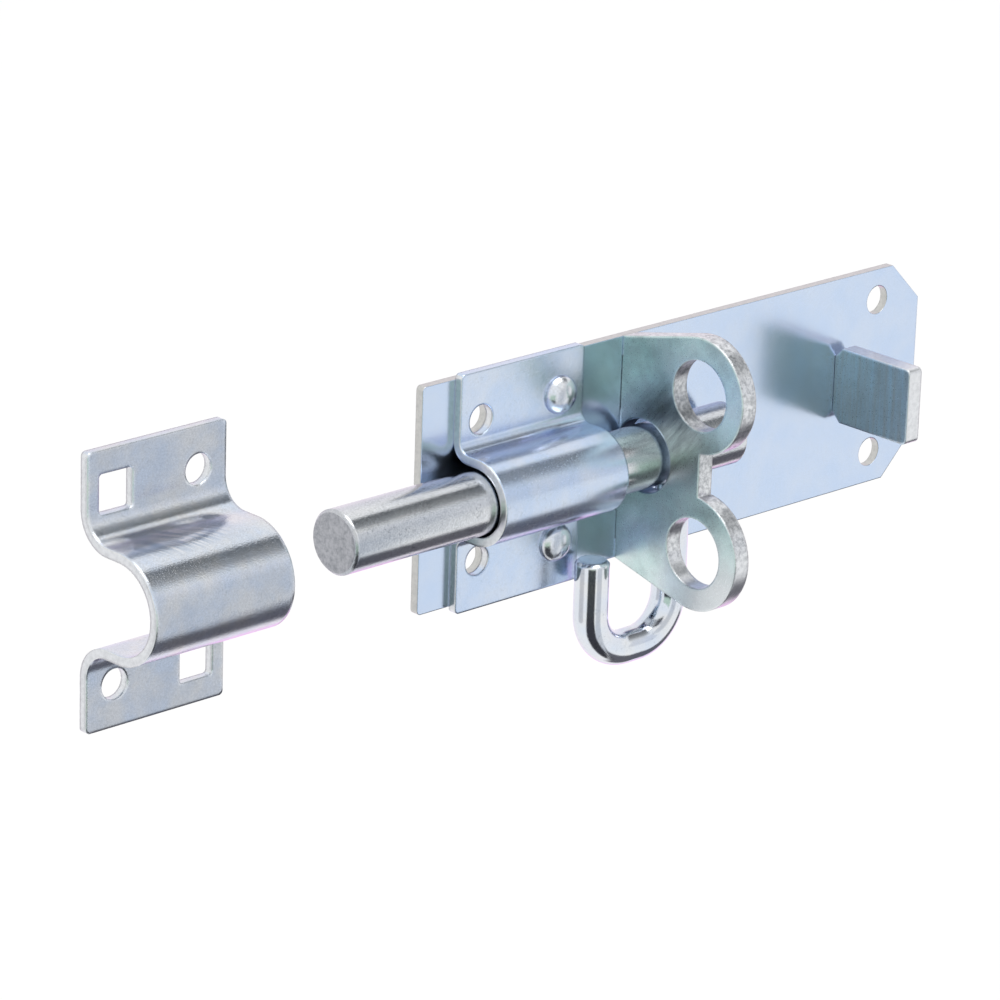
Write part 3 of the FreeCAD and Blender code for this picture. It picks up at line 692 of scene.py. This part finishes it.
def add_card(details):
    """Card that only the metal mirrors."""
    bpy.ops.object.select_all(action="DESELECT")
    bpy.ops.mesh.primitive_plane_add(size=1.0)
    card = bpy.context.object
    card.name = details.name
    card.scale = (details.width, details.height, 1.0)
    card.location = details.centre
    card.rotation_mode = "QUATERNION"
    facing = (Vector(details.aim) - Vector(details.centre)).to_track_quat("Z", "Y")
    card.rotation_quaternion = facing @ Quaternion((0.0, 0.0, 1.0), details.roll)
    card.data.materials.append(card_material(details.name, details.shade, details.graded))
    card.visible_camera = False
    card.visible_diffuse = False
    card.visible_shadow = False
    card.visible_transmission = False


def add_cards(middle):
    """Cards all round, whose reflections give the metal its dark, pale and violet bands."""
    keep = (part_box("keep")[0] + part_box("keep")[1]) / 2
    hook = (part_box("hook_handle")[0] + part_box("hook_handle")[1]) / 2
    above_right = (0.50, -0.15, 0.0)
    above_front = (-0.08, -0.30, 0.0)
    cards = (
        Card("camera_side_card", (-0.62, -0.62, -0.27), middle, 0.80, 0.66, SAGE),
        Card("right_high_card", (0.9, -0.62, 1.0), middle, 0.75, 1.2, CHARCOAL, CARD_SLANT, True),
        Card("right_front_card", (0.9, -1.2, 0.4), middle, 0.6, 0.8, PALE_GREY),
        Card("floor_card_right", (0.50, -0.15, -0.47), above_right, 0.85, 0.50, DARK_GREY),
        Card("floor_card_front", (-0.08, -0.30, -0.47), above_front, 0.55, 0.52, BLACK),
        Card("violet_card", (0.49, 0.42, -0.46), middle, 0.5, 0.5, VIOLET),
        Card("left_card", (-1.07, 0.36, -0.40), middle, 0.7, 0.9, MID_GREY),
        Card("keep_front_card", (-0.01, -0.18, -0.06), keep, 0.12, 0.30, COOL_GREY),
        Card("hook_card", (-0.19, -0.18, -0.205), hook, 0.28, 0.25, BLACK),
    )
    for card in cards:
        add_card(card)


def camera_turn(stage):
    """Turn of a camera that looks down on the object from its left, with a little roll."""
    sin_a = math.sin(stage.azimuth)
    cos_a = math.cos(stage.azimuth)
    sin_e = math.sin(stage.elevation)
    cos_e = math.cos(stage.elevation)
    level = Vector((cos_a, -sin_a, 0.0))
    ahead = Vector((sin_a * cos_e, cos_a * cos_e, -sin_e))
    up = level.cross(ahead)
    turned_right = level * math.cos(stage.roll) + up * math.sin(stage.roll)
    turned_up = up * math.cos(stage.roll) - level * math.sin(stage.roll)
    return Matrix((turned_right, turned_up, -ahead)).transposed()


def add_camera(scene, stage):
    """Camera of the scene."""
    camera_data = bpy.data.cameras.new("camera")
    camera_data.sensor_width = SENSOR_WIDTH
    camera_data.lens = stage.lens
    camera = bpy.data.objects.new("camera", camera_data)
    camera.matrix_world = Matrix.Translation(stage.camera_place) @ camera_turn(stage).to_4x4()
    scene.collection.objects.link(camera)
    scene.camera = camera


class PADBOLT_OT_stage(bpy.types.Operator):
    """White studio: floor, room light, one soft box, cards and the camera"""

    bl_idname = "padbolt.stage"
    bl_label = "Set up studio"

    def execute(self, context):
        scene = context.scene
        stage = scene.padbolt_stage
        scene.view_settings.view_transform = "Standard"
        middle = (CAD_BOX[0] + CAD_BOX[1]) / 2
        add_floor(CAD_BOX[0].z - stage.floor_drop)
        light_room(scene, stage.room_light)
        add_softbox("top_box", SOFTBOX_PLACE, middle, SOFTBOX_SIZE, SOFTBOX_POWER)
        add_cards(middle)
        add_camera(scene, stage)
        return {"FINISHED"}


class PADBOLT_PT_panel(bpy.types.Panel):
    """Sidebar with the finishes and the studio"""

    bl_label = "Padbolt"
    bl_idname = "PADBOLT_PT_panel"
    bl_space_type = "VIEW_3D"
    bl_region_type = "UI"
    bl_category = "Padbolt"

    def draw(self, context):
        layout = self.layout
        scene = context.scene
        for settings in (scene.padbolt_plating, scene.padbolt_rivets, scene.padbolt_stage):
            for name in settings.__annotations__:
                layout.prop(settings, name)
        for operator in OPERATORS:
            layout.operator(operator.bl_idname)


OPERATORS = (
    PADBOLT_OT_back_plate,
    PADBOLT_OT_bolt_guide,
    PADBOLT_OT_rivets,
    PADBOLT_OT_lock_plate,
    PADBOLT_OT_end_stop,
    PADBOLT_OT_bolt,
    PADBOLT_OT_keep,
    PADBOLT_OT_stage,
)
CLASSES = (PlatingSettings, RivetSettings, StageSettings, *OPERATORS, PADBOLT_PT_panel)


def register():
    for cls in CLASSES:
        bpy.utils.register_class(cls)
    bpy.types.Scene.padbolt_plating = PointerProperty(type=PlatingSettings)
    bpy.types.Scene.padbolt_rivets = PointerProperty(type=RivetSettings)
    bpy.types.Scene.padbolt_stage = PointerProperty(type=StageSettings)


def unregister():
    del bpy.types.Scene.padbolt_stage
    del bpy.types.Scene.padbolt_rivets
    del bpy.types.Scene.padbolt_plating
    for cls in reversed(CLASSES):
        bpy.utils.unregister_class(cls)


def main():
    """Registers the add-on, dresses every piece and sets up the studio."""
    register()
    bpy.ops.padbolt.back_plate()
    bpy.ops.padbolt.bolt_guide()
    bpy.ops.padbolt.rivets()
    bpy.ops.padbolt.lock_plate()
    bpy.ops.padbolt.end_stop()
    bpy.ops.padbolt.bolt()
    bpy.ops.padbolt.keep()
    bpy.ops.padbolt.stage()


if __name__ == "__main__":
    main()
